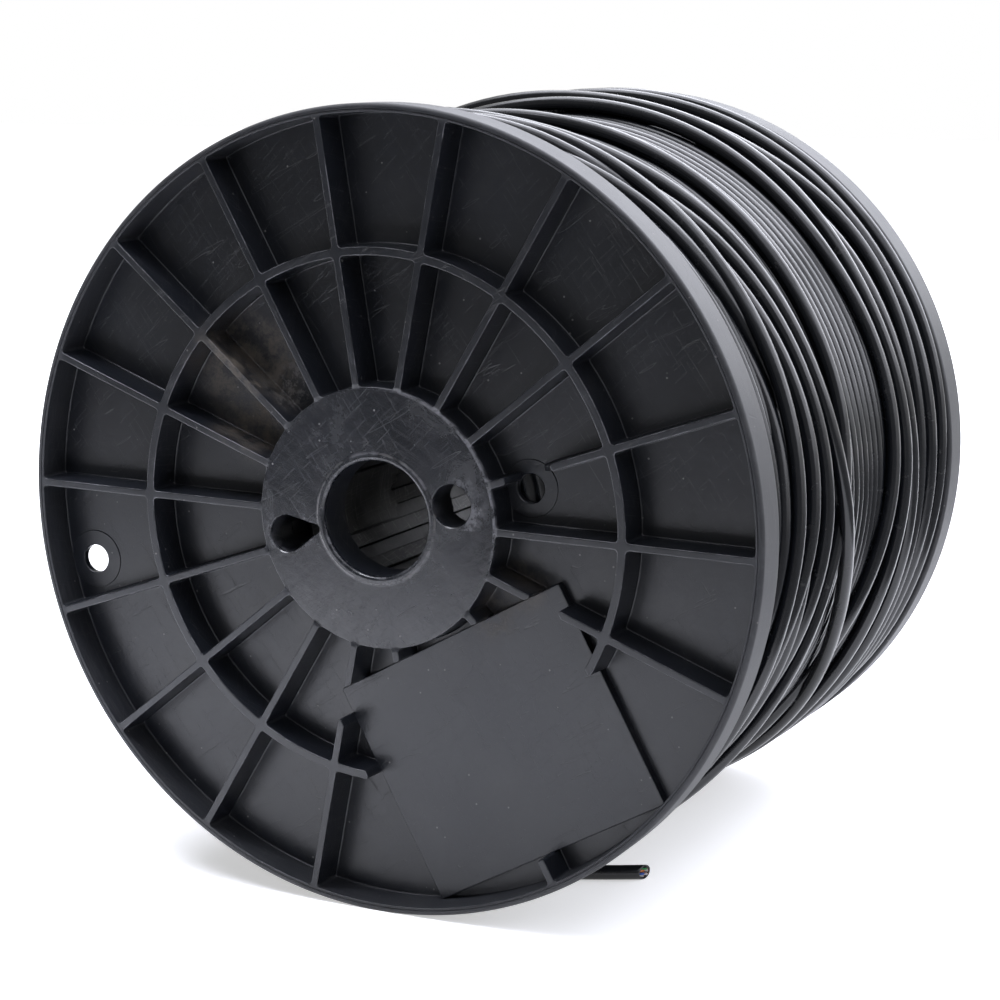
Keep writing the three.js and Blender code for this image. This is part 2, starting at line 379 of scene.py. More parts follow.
class Solid:
    """Points and faces of one closed form, in millimetres about the drum's axis."""

    def __init__(self):
        self.points = []
        self.faces = []

    def ring(self, plan, depth):
        """Points of a plan at a depth, or at one depth each; returns their numbers."""
        depth = np.broadcast_to(np.asarray(depth, float), len(plan))
        first = len(self.points)
        self.points.extend((x, d, z) for (x, z), d in zip(plan, depth))
        return list(range(first, len(self.points)))

    def loft(self, rings):
        """Faces between each closed ring and the next."""
        for a, b in zip(rings, rings[1:]):
            self.faces.extend((a[i - 1], a[i], b[i], b[i - 1]) for i in range(len(a)))

    def fill(self, rings, loose=()):
        """Flat faces between closed rings, by the even-odd rule, through loose points too."""
        index = [i for ring in rings for i in ring] + list(loose)
        plan = [Vector((self.points[i][0], self.points[i][2])) for i in index]
        edges, first = [], 0
        for ring in rings:
            n = len(ring)
            edges += [(first + i, first + (i + 1) % n) for i in range(n)]
            first += n
        found = delaunay_2d_cdt(plan, edges, [], 0, 1e-7)
        origin = [o[0] if o else None for o in found[3]]
        if None in origin:
            raise ValueError("two rings of a flat face cross each other")
        walls = {frozenset(e) for e, source in zip(found[1], found[4]) if source}
        sides = [[frozenset((face[i], face[i - 1])) for i in range(3)] for face in found[2]]
        beside = {}
        for f, around in enumerate(sides):
            for edge in around:
                beside.setdefault(edge, []).append(f)
        within = {}
        ready = [(faces[0], edge in walls) for edge, faces in beside.items() if len(faces) == 1]
        while ready:
            f, state = ready.pop()
            if f not in within:
                within[f] = state
                for edge in sides[f]:
                    ready += [(g, state != (edge in walls)) for g in beside[edge] if g != f]
        inside = [f for f, state in within.items() if state]
        self.faces.extend(tuple(index[origin[i]] for i in found[2][f]) for f in inside)

    def mesh(self, name):
        return mesh_of(to_row(self.points), self.faces, name)


def prism(outline, from_depth, to_depth, edge=0.0, flare=0.0, mouth=None):
    """Closed prism of an outline. `edge` rounds its front edge, `flare` opens it at a mouth."""
    outline = np.asarray(outline, float)
    section = [(0, from_depth)]
    if edge:
        steps = (-1.8, 0.0), (-1, 0.0), (-0.5, 0.13), (-0.13, 0.5), (0, 1)
        section = [(-aside * edge, from_depth + down * edge) for aside, down in steps]
    elif flare:
        section = [(-flare - (mouth - from_depth), from_depth), (0, mouth + flare)]
    section.append((0, to_depth))
    form = Solid()
    rings = [form.ring(offset(outline, aside) if aside else outline, d) for aside, d in section]
    form.loft(rings)
    form.fill([rings[0]])
    form.fill([rings[-1]])
    return form


# ------------------------------------------------------------------ outlines
def offset(loop, distance):
    """Closed loop moved to its left by a distance, corner by corner."""
    a, b = unit(loop - np.roll(loop, 1, 0)), unit(np.roll(loop, -1, 0) - loop)
    na = np.stack([-a[:, 1], a[:, 0]], 1)
    n = na + np.stack([-b[:, 1], b[:, 0]], 1)
    n /= np.maximum(np.linalg.norm(n, axis=1)[:, None], 1e-9)
    cosine = np.maximum((n * na).sum(1), 0.6)
    return loop + n * (distance / cosine)[:, None]


def walk(loop):
    """Distance along a closed loop at each point, and its whole length."""
    steps = np.linalg.norm(np.roll(loop, -1, 0) - loop, axis=1)
    return np.concatenate([[0], np.cumsum(steps)[:-1]]), steps.sum()


def along(loop, at):
    """Points of a closed loop at distances along it."""
    start, total = walk(loop)
    at = np.mod(np.atleast_1d(at), total)
    closed = np.vstack([loop, loop[:1]])
    return np.stack([np.interp(at, np.append(start, total), closed[:, i]) for i in (0, 1)], 1)


def softened(loop, inner, outer, step):
    """Loop with its corners rounded: `inner` where it turns left, `outer` where it turns right."""
    a, b = loop - np.roll(loop, 1, 0), np.roll(loop, -1, 0) - loop
    turn = np.arctan2(a[:, 0] * b[:, 1] - a[:, 1] * b[:, 0], (a * b).sum(1))
    corners = np.flatnonzero(np.abs(turn) > math.radians(22))
    start, total = walk(loop)
    if not len(corners):
        return along(loop, np.linspace(0, total, max(8, int(total / step)), endpoint=False))
    marks = start[corners]
    reach = []
    for j, c in enumerate(corners):
        radius = inner if turn[c] > 0 else outer
        rooms = marks[j] - marks[j - 1], marks[(j + 1) % len(corners)] - marks[j]
        room = min(gap % total or total for gap in rooms)
        reach.append(min(radius * math.tan(min(abs(turn[c]), 2.5) / 2), 0.47 * room))
    result = []
    for j, c in enumerate(corners):
        begin, end = marks[j] - reach[j], marks[j] + reach[j]
        p, q = along(loop, [begin, end])
        weight = math.cos(turn[c] / 2)
        for t in np.linspace(0, 1, 6 if turn[c] > 0 else 5):
            pull = 2 * weight * t * (1 - t)
            point = (1 - t) ** 2 * p + pull * loop[c] + t * t * q
            result.append(point / ((1 - t) ** 2 + pull + t * t))
        k = (j + 1) % len(corners)
        begin, end = end, marks[k] - reach[k]
        if end <= begin:
            end += total
        pieces = max(1, int(round((end - begin) / step)))
        result.extend(along(loop, np.linspace(begin, end, pieces + 1)[1:-1]))
    return np.array(result)


def plate_corners(size, grow=0.0):
    u, v = axes(size.plate_angle)
    inner, outer = size.plate_inner - grow, size.plate_outer + grow
    side = size.plate_width / 2 + grow
    corners = (inner, -side), (outer, -side), (outer, side), (inner, side)
    return np.array([u * a + v * b for a, b in corners])


def traced(plan, faces):
    """Outer edges of a set of triangles, as closed loops of points."""
    edges = {}
    for f in faces:
        (x1, y1), (x2, y2) = plan[f[1]] - plan[f[0]], plan[f[2]] - plan[f[0]]
        if x1 * y2 - y1 * x2 < 0:
            f = f[::-1]
        for i in range(3):
            edges[int(f[i]), int(f[(i + 1) % 3])] = True
    onward = {}
    for i, j in edges:
        if (j, i) not in edges:
            onward.setdefault(i, []).append(j)
    while onward:
        chain = [next(iter(onward))]
        while len(chain) == 1 or chain[-1] != chain[0]:
            here = chain[-1]
            chain.append(onward[here].pop())
            if not onward[here]:
                del onward[here]
        yield plan[chain[:-1]]


def pockets(size):
    """Outlines of the open pockets between a flange's ribs, ring, rim and hub."""
    hub, rim = size.hub_diameter / 2, size.diameter / 2 - size.rim_wall
    ring, ring_wall, half = size.ring / 2, size.ring_wall / 2, size.rib / 2
    pitch = 2 * math.pi / size.ribs
    ribs = [(k, size.first_rib + k * pitch) for k in range(size.ribs)]
    lines, points = [], []

    def add(chain, closed):
        first, n = len(points), len(chain)
        points.extend(chain)
        lines.extend((first + i, first + (i + 1) % n) for i in range(n if closed else n - 1))

    for radius, steps in ((rim, 240), (ring - ring_wall, 200), (ring + ring_wall, 200), (hub, 120)):
        add(circle(radius, steps, 0.003), True)
    for k, turn in ribs:
        u, v = axes(turn)
        for side in (-half, half):
            add([u * r + v * side for r in (hub - 1, rim + 1)], False)
        for r in GAP if k == GAP_RIB else ():
            add([u * r - v * (half + 0.5), u * r + v * (half + 0.5)], False)
    add(plate_corners(size), True)

    found = delaunay_2d_cdt([Vector(p) for p in points], lines, [], 0, 1e-6)
    plan, faces = np.array([tuple(p) for p in found[0]]), np.array(found[2])
    middle = plan[faces].mean(1)
    radius = np.hypot(*middle.T)
    walls = np.abs(radius - ring) < ring_wall
    for k, turn in ribs:
        a, b = (middle @ axis for axis in axes(turn))
        hit = (a > 0) & (np.abs(b) < half)
        if k == GAP_RIB:
            hit &= (a < GAP[0]) | (a > GAP[1])
        lean = abs(math.remainder(turn - size.plate_angle, 2 * math.pi))
        if lean < 1.5 * pitch:
            hit &= (a < 69) if lean > 0.3 * pitch else (a > size.plate_outer)
        walls |= hit
    u, v = axes(size.plate_angle)
    a, b = middle @ u, np.abs(middle @ v)
    cleared = (a > size.plate_inner) & (a < size.plate_outer) & (b < size.plate_width / 2)
    land = (radius < hub * 0.99995) | (radius > rim * 0.99995) | (walls & ~cleared)
    loops = []
    for loop in traced(plan, faces[~land]):
        loop = loop[np.linalg.norm(np.roll(loop, -1, 0) - loop, axis=1) > 0.02]
        if len(loop) > 3 and walk(loop)[1] > 20:
            loops.append(softened(loop, size.corner, 1.1, 6.0))
    return loops


def gap_lean(loop, size):
    """How far the foot of the interrupted rib's ends leans along the rib, at each point."""
    u, v = axes(size.first_rib + GAP_RIB * 2 * math.pi / size.ribs)
    a, b = loop @ u, np.abs(loop @ v)
    near = b < size.rib / 2 + 0.4
    outer = np.where(near & (a > GAP[1] - 2), np.clip(GAP[1] + 1.2 - a, 0, 1), 0) * -11
    inner = np.where(near & (a < GAP[0] + 2) & (a > GAP[0] - 2), np.clip(a - 69, 0, 1), 0) * 1.4
    return (outer + inner)[:, None] * u


def slot_outline(radius, tip):
    """Outline of the tapered slot: a round end and a smaller tip, with their common tangents."""
    tangent = math.acos((radius - tip) / SLOT_REACH)
    big = np.linspace(tangent - math.pi, math.pi - tangent, 40)
    small = np.linspace(math.pi - tangent, math.pi + tangent, 20)
    outline = np.vstack([
        np.stack([radius * np.cos(big), radius * np.sin(big)], 1),
        np.stack([tip * np.cos(small) - SLOT_REACH, tip * np.sin(small)], 1),
    ])
    return outline @ np.array(axes(math.radians(SLOT[1]))) + polar(*SLOT)


# ------------------------------------------------------------------ flange
def hub_step(plan, size):
    """Depth of the flange's top surface: the hub's face lies a little lower than the ribs."""
    r = np.hypot(plan[:, 0], plan[:, 1])
    hub, lip = size.hub_diameter / 2, size.bore_lip / 2
    return size.hub_recess * (1 - smooth(hub - 0.1, hub + 1.2, r)) * smooth(lip - 0.3, lip + 0.5, r)


def flange_body(size):
    """Rim, web, ribs, ring and hub of the near flange as one closed solid, without its holes."""
    form = Solid()
    floor, depth, radius = size.pocket, size.depth, size.diameter / 2
    edge, fillet, draft, soft = size.edge, size.fillet, size.draft, size.rim_rounding
    section = [
        (-edge - 0.35, 0), (-edge, 0), *arc(-edge, edge, edge, (-60, -30, 0)),
        *arc(draft + fillet, floor - fillet, fillet, (180, 150, 120, 90)),
        (draft + fillet + 0.2, floor),
    ]
    tops = []
    for loop in pockets(size):
        lean = gap_lean(loop, size)
        rings = []
        for aside, down in section:
            plan = offset(loop, aside) + lean * down / floor
            rings.append(form.ring(plan, down + hub_step(plan, size) * (1 - down / floor)))
        form.loft(rings)
        form.fill([rings[-1]])
        tops.append(rings[0])
    barrel = in_mm(settings().barrel)
    bore, lip, hub = size.bore / 2, size.bore_lip / 2, size.hub_diameter / 2
    spigot = barrel.diameter / 2 - barrel.wall - 0.3
    tube, end, back = bore + 3.2, depth + size.spigot, size.hub_recess + size.hub_plate
    groove = radius - size.rim_wall + 1.0
    outline = [
        (groove, 0), (groove + 0.15, 0.35), (groove + 0.4, 0.35), (groove + 0.55, 0),
        (radius - soft - 0.3, 0), (radius - soft, 0),
        *arc(radius - soft, soft, soft, (-68, -45, -23, 0)),
        (radius, depth - 2), *arc(radius - 1.6, depth - 1.6, 1.6, (0, 30, 60, 90)),
        (radius - 2.2, depth), (spigot + 0.3, depth), (spigot, depth), (spigot, end),
        (spigot - 3, end), (spigot - 3, back), (tube, back), (tube, depth),
        (bore + 0.4, depth), (bore, depth - 0.4), (bore, 1.6), (bore + 0.2, 0.85),
        (bore + 0.7, 0.3), (bore + 1.4, 0), (bore + 1.7, 0),
    ]
    rings = [form.ring(circle(r, 360), d) for r, d in outline]
    form.loft(rings)
    loose = []
    for r, n in ((lip - 0.3, 120), (lip, 120), (lip + 0.5, 120), (lip + 1.5, 90), (hub - 1.1, 240)):
        plan = circle(r, n)
        loose += form.ring(plan, hub_step(plan, size))
    form.fill([rings[0], rings[-1], *tops], loose)
    return form


def flange_mesh(size, name):
    """The near flange with its bare plate, bosses and holes."""
    web, face, back = size.pocket, size.hub_recess, size.depth - 1.5
    start, end, pin = polar(*START_HOLE), polar(*END_HOLE), polar(*PIN_HOLE)
    plate = softened(plate_corners(size, 0.25), 1.2, 1.2, 8.0)
    added = (
        prism(plate, web - size.plate_height, web + 1, edge=0.4),
        prism(circle(13.5, 64) + start, web - 0.4, web + 1, edge=0.2),
        prism(circle(14.4, 64) + end, web - 0.4, web + 1, edge=0.2),
        prism(circle(12.5, 64) + pin, face + 1, back),
        prism(slot_outline(11.4, 4.7), face + 1, back),
    )
    through = 40
    holes = (
        prism(circle(6.9, 48) + start, web - 2, through, flare=0.35, mouth=web - 0.4),
        prism(circle(7.0, 48) + end, web - 2, through, flare=0.35, mouth=web - 0.4),
        prism(circle(10, 64) + pin, face - 2, through, flare=0.45, mouth=face),
        prism(slot_outline(8.9, 2.2), face - 2, through, flare=0.45, mouth=face),
    )
    piece = object_of(flange_body(size).mesh(name), name)
    for forms, operation in ((added, "UNION"), (holes, "DIFFERENCE")):
        for form in forms:
            boolean(piece, form.mesh("tool"), operation)
    rough = piece.data
    mark_wear(rough)
    shade(rough)
    piece.modifiers.new("Even faces", "WEIGHTED_NORMAL").keep_sharp = True
    even = plain_mesh(piece)
    bpy.data.objects.remove(piece)
    bpy.data.meshes.remove(rough)
    even.name = name
    return even


def mark_wear(mesh):
    """Attribute `wear`: how exposed a point is to rubbing, which is on the rounded top edges."""
    facing = -vectors_of(mesh, "normal")[:, 1]
    depth = vectors_of(mesh, "co")[:, 1] / MM + WIDTH / 2
    slanted = smooth(0.2, 0.5, facing) * (1 - smooth(0.93, 0.995, facing))
    set_attribute(mesh, "wear", slanted * (1 - smooth(1.0, 2.6, depth)))


def turned_about_z(mesh, name):
    """A copy of a mesh turned half a turn about the middle, as the far flange is."""
    copy = mesh.copy()
    copy.name = name
    places = vectors_of(copy, "co") * (-1, -1, 1)
    copy.vertices.foreach_set("co", places.astype(np.float32).ravel())
    copy.update()
    return copy


# ------------------------------------------------------------------ node trees
def feed(tree, socket, value):
    """Set an input, or link it to an output or to a node's first output."""
    if isinstance(value, bpy.types.Node):
        value = value.outputs[0]
    if isinstance(value, bpy.types.NodeSocket):
        tree.links.new(value, socket)
    elif value is not None:
        socket.default_value = value


def add_node(tree, kind, *by_place, **by_name):
    """A new node. Small names are its settings, and the rest are inputs, as values or links."""
    made = tree.nodes.new(kind)
    inputs = dict(enumerate(by_place))
    for label, value in by_name.items():
        if label[0].islower():
            setattr(made, label, value)
        else:
            inputs[label.replace("_", " ")] = value
    for label, value in inputs.items():
        feed(tree, made.inputs[label], value)
    return made


def new_tree(name, sockets):
    """A geometry tree with its inputs by name: the tree, its node maker and its input node."""
    tree = bpy.data.node_groups.new(name, "GeometryNodeTree")
    for label, kind, default in sockets:
        socket = tree.interface.new_socket(
            label, in_out="INPUT", socket_type="NodeSocket" + kind
        )
        if default is not None:
            socket.default_value = default
    tree.interface.new_socket("Geometry", in_out="OUTPUT", socket_type="NodeSocketGeometry")
    node = partial(add_node, tree)
    return tree, node, node("NodeGroupInput").outputs


def close_tree(node, shape, given):
    """The end of a geometry tree: real geometry with its material."""
    real = node("GeometryNodeRealizeInstances", shape)
    paint = node("GeometryNodeSetMaterial", Geometry=real, Material=given["Material"])
    node("NodeGroupOutput", paint)


def run_tree(source, tree, values, name):
    """Run a node tree on a mesh and return the result as a plain mesh."""
    carrier = object_of(source, name)
    modifier = carrier.modifiers.new(tree.name, "NODES")
    modifier.node_group = tree
    for item in tree.interface.items_tree:
        if item.item_type == "SOCKET" and item.in_out == "INPUT" and item.name in values:
            modifier[item.identifier] = values[item.name]
    mesh = plain_mesh(carrier)
    carrier.modifiers.remove(modifier)
    bpy.data.objects.remove(carrier)
    if not len(mesh.polygons):
        raise RuntimeError(f"{tree.name} made nothing")
    mesh.name = name
    return mesh


def bars_tree():
    """Bars set round the inside of a barrel: one bar, copied round the axis."""
    tree, node, given = new_tree("Bars round a barrel", (
        ("Bar", "Geometry", None), ("Count", "Int", 24), ("First Angle", "Float", 0.0),
        ("Axis Height", "Float", 0.19), ("Material", "Material", None),
    ))
    bar = node("GeometryNodeGeometryToInstance", given["Bar"])
    copies = node(
        "GeometryNodeDuplicateElements", domain="INSTANCE", Geometry=bar, Amount=given["Count"]
    )
    step = node("ShaderNodeMath", -2 * math.pi, given["Count"], operation="DIVIDE")
    first = node("ShaderNodeMath", given["First Angle"], -1, operation="MULTIPLY")
    number = copies.outputs["Duplicate Index"]
    turn = node("ShaderNodeMath", number, step, first, operation="MULTIPLY_ADD")
    placed = node(
        "GeometryNodeRotateInstances", Instances=copies, Local_Space=False,
        Rotation=node("ShaderNodeCombineXYZ", Y=turn),
        Pivot_Point=node("ShaderNodeCombineXYZ", Z=given["Axis Height"]),
    )
    close_tree(node, placed, given)
    return tree


def cable_tree():
    """Round cable swept along wound centre lines that wander a little."""
    tree, node, given = new_tree("Cable along a path", (
        ("Centre Line", "Geometry", None), ("Radius", "Float", 0.0036), ("Sides", "Int", 12),
        ("Unevenness", "Float", 0.0005), ("Seed", "Int", 1), ("Material", "Material", None),
    ))
    vector_node = partial(node, "ShaderNodeVectorMath")
    noise = node(
        "ShaderNodeTexNoise", noise_dimensions="4D", Scale=9.0, Detail=1.0, W=given["Seed"]
    )
    centred = vector_node(noise.outputs["Color"], (0.5, 0.5, 0.5), operation="SUBTRACT")
    wander = vector_node(centred, operation="SCALE", Scale=given["Unevenness"])
    free = node("GeometryNodeInputNamedAttribute", data_type="FLOAT", Name="free")
    held = vector_node(wander, operation="SCALE", Scale=free)
    curve = node("GeometryNodeMeshToCurve", given["Centre Line"])
    path = node("GeometryNodeSetPosition", Geometry=curve, Offset=held)
    section = node(
        "GeometryNodeCurvePrimitiveCircle", Resolution=given["Sides"], Radius=given["Radius"]
    )
    cable = node(
        "GeometryNodeCurveToMesh", Curve=path, Profile_Curve=section, Fill_Caps=True
    )
    close_tree(node, node("GeometryNodeSetShadeSmooth", Geometry=cable), given)
    return tree


def centre_line(line, name):
    """An open centre line as edges, with how freely each point may wander from its place."""
    mesh = bpy.data.meshes.new(name)
    n = len(line)
    mesh.from_pydata([tuple(p) for p in to_row(line)], [(i, i + 1) for i in range(n - 1)], [])
    steps = np.arange(n)
    set_attribute(mesh, "free", smooth(0, 30, steps) * smooth(0, 30, n - 1 - steps))
    return mesh


# ------------------------------------------------------------------ winding
# One pass of the last layer for each row: where it lies, in millimetres from the near face, at
# -50, -20, 0, 20, 40, 60 and 80 degrees, then at 130, 180, 230 and 280 degrees on the other side.
# The order is the cable's own way, and `over` says which passes lie on top of which.
LAST_LAYER = (
    ("far end", 1, (276, 277, 284, 287, 286, 284, 283, 281, 279, 277, 274)),
    ("beside it", 3, (262, 259, 259, 262, 265, 265, 260, 262, 266, 262, 258)),
    ("under it", 2, (248, 250, 254, 255, 258, 231, 216, 222, 236, 243, 244)),
    ("lowest", 0, (240, 238, 233, 227, 231, 214, 199, 205, 214, 220, 222)),
    ("beside the valley", 5, (212, 212, 224, 217, 216, 217, 209, 203, 196, 188, 180)),
    ("along the valley", 4, (172, 179, 203, 204, 196, 203, 194, 188, 186, 190, 196)),
    ("crossing", 12, (192, 151, 115, 106, 100, 86, 54, 66, 88, 84, 60)),
    ("beside the rim", 7, (48, 58, 70, 75, 67, 50, 38, 46, 60, 58, 44)),
    ("on the rim's side", 10, (37, 40, 51, 55, 54, 55, 50, 58, 70, 76, 76)),
    ("under the crossing", 9, (72, 106, 129, 131, 131, 129, 118, 122, 118, 108, 96)),
    ("between", 8, (84, 89, 99, 93, 84, 62, 45, 74, 100, 96, 84)),
    ("low", 6, (72, 76, 78, 60, 48, 44, 40, 36, 52, 48, 42)),
    ("lowest by the rim", 0, (36, 38, 42, 52, 45, 38, 33, 32, 40, 52, 70)),
)
STATIONS = (-50, -20, 0, 20, 40, 60, 80, 130, 180, 230, 280)


# How the wound surface leaves a true cylinder, in millimetres, as (degrees, amount): the step
# down beside the near flange, and the sag of the near and of the far part
STEP = (0, -4), (45, -4), (90, 6), (145, 18), (200, 20), (255, 16), (310, 8), (345, -2), (360, -4)
NEAR_SAG = (
    (0, 0), (45, 0), (70, -2), (93, -5), (150, -4), (250, -3.5), (300, -5.2), (335, -2.5), (360, 0)
)
FAR_SAG = (0, 0), (93, 2.6), (180, 1), (250, -1), (310, 0.3), (360, 0)


def surface(turn, depth):
    """How far the wound surface stands from a true cylinder, by angle and depth."""
    step, near, far = (
        np.interp(np.degrees(turn) % 360, *np.transpose(table))
        for table in (STEP, NEAR_SAG, FAR_SAG)
    )
    sag = near + (far - near) * smooth(165, 225, depth)
    return sag - step * np.clip(1 - (depth - 20.8) / 24, 0, 1)


def eased(x, xp, fp):
    """Smooth curve through points, without overshoot (monotone cubic)."""
    xp, fp = np.asarray(xp, float), np.asarray(fp, float)
    h, d = np.diff(xp), np.diff(fp) / np.diff(xp)
    m = np.zeros(len(xp))
    for i in range(1, len(xp) - 1):
        if d[i - 1] * d[i] > 0:
            w1, w2 = 2 * h[i] + h[i - 1], h[i] + 2 * h[i - 1]
            m[i] = (w1 + w2) / (w1 / d[i - 1] + w2 / d[i])
    m[0], m[-1] = d[0], d[-1]
    i = np.clip(np.searchsorted(xp, x) - 1, 0, len(h) - 1)
    t = (x - xp[i]) / h[i]
    return (
        (2 * t**3 - 3 * t**2 + 1) * fp[i] + (t**3 - 2 * t**2 + t) * h[i] * m[i]
        + (-2 * t**3 + 3 * t**2) * fp[i + 1] + (t**3 - t**2) * h[i] * m[i + 1]
    )


def blurred(values, width):
    kernel = np.exp(-0.5 * (np.arange(-3 * width, 3 * width + 1) / width) ** 2)
    padded = np.pad(values, 3 * width, mode="edge")
    return np.convolve(padded, kernel / kernel.sum(), mode="valid")


def spread(values, reach):
    """The largest value within reach along the line."""
    return np.max([np.roll(values, i) for i in range(-reach, reach + 1)], axis=0)


def stacking(depth, number, station, diameter):
    """How far each point of the last layer is pushed up or down where its passes cross."""
    order = [over for _, over, _ in LAST_LAYER]
    passes, per_turn = len(order), station.max() + 1
    table = np.full((passes, per_turn), np.nan)
    table[number, station] = depth
    up, down = np.zeros(len(depth)), np.zeros(len(depth))
    for k in sorted(range(passes), key=lambda p: (-order[p], p)):
        mine = np.flatnonzero(number == k)
        at = station[mine]
        for j in range(passes):
            if j == k:
                continue
            away = np.nan_to_num(np.abs(depth[mine] - table[j, at]), nan=99.0)
            need = np.sqrt(np.clip(diameter**2 - away**2, 0, None))
            if (order[j], -j) < (order[k], -k):
                up[mine] = np.maximum(up[mine], 0.4 * need)
            else:
                sunk = np.zeros(per_turn)
                theirs = np.flatnonzero(number == j)
                sunk[station[theirs]] = down[theirs]
                down[mine] = np.maximum(down[mine], np.where(need > 0, 0.6 * need + sunk[at], 0))
    return blurred(spread(up, 3), 4) - blurred(spread(down, 2), 4)


def last_layer(size, tail_start):
    """Centre line of the loose last layer: one long path that ends where the tail begins."""
    per_turn = 150
    passes = len(LAST_LAYER)
    last = 360 * passes
    tail_turn = last - 76.0  # the tail begins a little past the drum's lowest place
    knots = [360 * k + s for k in range(passes) for s in STATIONS]
    marks = [place for _, _, places in LAST_LAYER for place in places]
    kept = sum(knot <= last - 103 for knot in knots)
    knots = knots[:kept] + [last - 90, tail_turn]
    marks = marks[:kept] + [tail_start[1] - 17.5, tail_start[1]]
    degrees = np.append(np.arange(-50, tail_turn, 360 / per_turn), tail_turn)
    depth = eased(degrees, knots, marks)
    calm = 1 - smooth(tail_turn - 60, tail_turn - 30, degrees)
    depth = depth + (blurred(depth, 4) - depth) * calm
    number = np.clip(((degrees + 50) // 360).astype(int), 0, passes - 1)
    station = np.round(((degrees + 50) % 360) / (360 / per_turn)).astype(int) % per_turn
    turn = np.radians(degrees)
    radius = size.upper + surface(turn, depth) + stacking(depth, number, station, size.diameter)
    lying = AXIS_HEIGHT - size.diameter / 2
    from_below = (degrees % 360) - 270
    slope = np.cos(np.radians(np.clip(np.abs(from_below), 0, 60)))
    radius = np.minimum(radius, (lying - 0.1) / np.maximum(slope, 0.4))
    on_floor = lying / np.maximum(np.cos(np.radians(from_below)), 0.5)
    settled = smooth(tail_turn - 34, tail_turn - 14, degrees)
    radius = radius + (on_floor - radius) * settled
    return np.stack([radius * np.cos(turn), depth, radius * np.sin(turn)], 1)


def lower_layer(size):
    """Centre line of the layer under it: an even helix from flange to flange."""
    per_turn = 132
    first, last = 25.0, WIDTH - 24.6
    turns = round((last - first) / size.pitch)
    phase = np.arange(turns * per_turn + 1) / per_turn
    turn = 2 * math.pi * phase + 0.7
    wander = fbm(size.seed, phase, 4, 0.9) * 0.8 + fbm(size.seed + 1, phase % 1, 3, 1.0) * 0.7
    wander = wander * smooth(0, 2, phase) * smooth(0, 2, turns - phase)
    depth = first + phase * (last - first) / turns + wander
    radius = size.lower + surface(turn, depth) + 0.35 * fbm(size.seed + 2, phase, 5, 1.3)
    return np.stack([radius * np.cos(turn), depth, radius * np.sin(turn)], 1)


def winding_core(size):
    """What is under the visible layers: the package's body, with its layers showing at the ends."""
    steps = 180
    form = Solid()
    near, far = 20.9, WIDTH - 20.9
    turn = np.arange(steps) * 2 * math.pi / steps
    barrel = in_mm(settings().barrel).diameter / 2 + 0.3
    crown = size.lower - 1.2
    pitch = size.diameter
    rings = []

    def add(radius, depth):
        rings.append(form.ring(circle(radius, steps), depth))

    def top(depth, low=0.0):
        return crown - low + surface(turn, depth)

    for face, inward in ((near, 1), (far, -1)):
        radii = np.arange(barrel, (crown if inward < 0 else crown - 20) - pitch, pitch)
        humps = (0, 1.7), (0.16, 0.6), (0.5, 0), (0.84, 0.6)
        levels = [(r + out * pitch, down) for r in radii for out, down in humps]
        levels.append((radii[-1] + pitch, 1.7))
        if inward < 0:
            for depth in np.linspace(near + 3, far - 3, 34):
                add(top(depth), depth)
            add(top(far - 1, 1.0), far - 0.8)
            levels.reverse()
        for r, down in levels:
            add(r, face + inward * down)
        if inward > 0:
            add(top(near + 1, 1.0), near + 0.8)
    form.loft(rings + rings[:1])
    return form


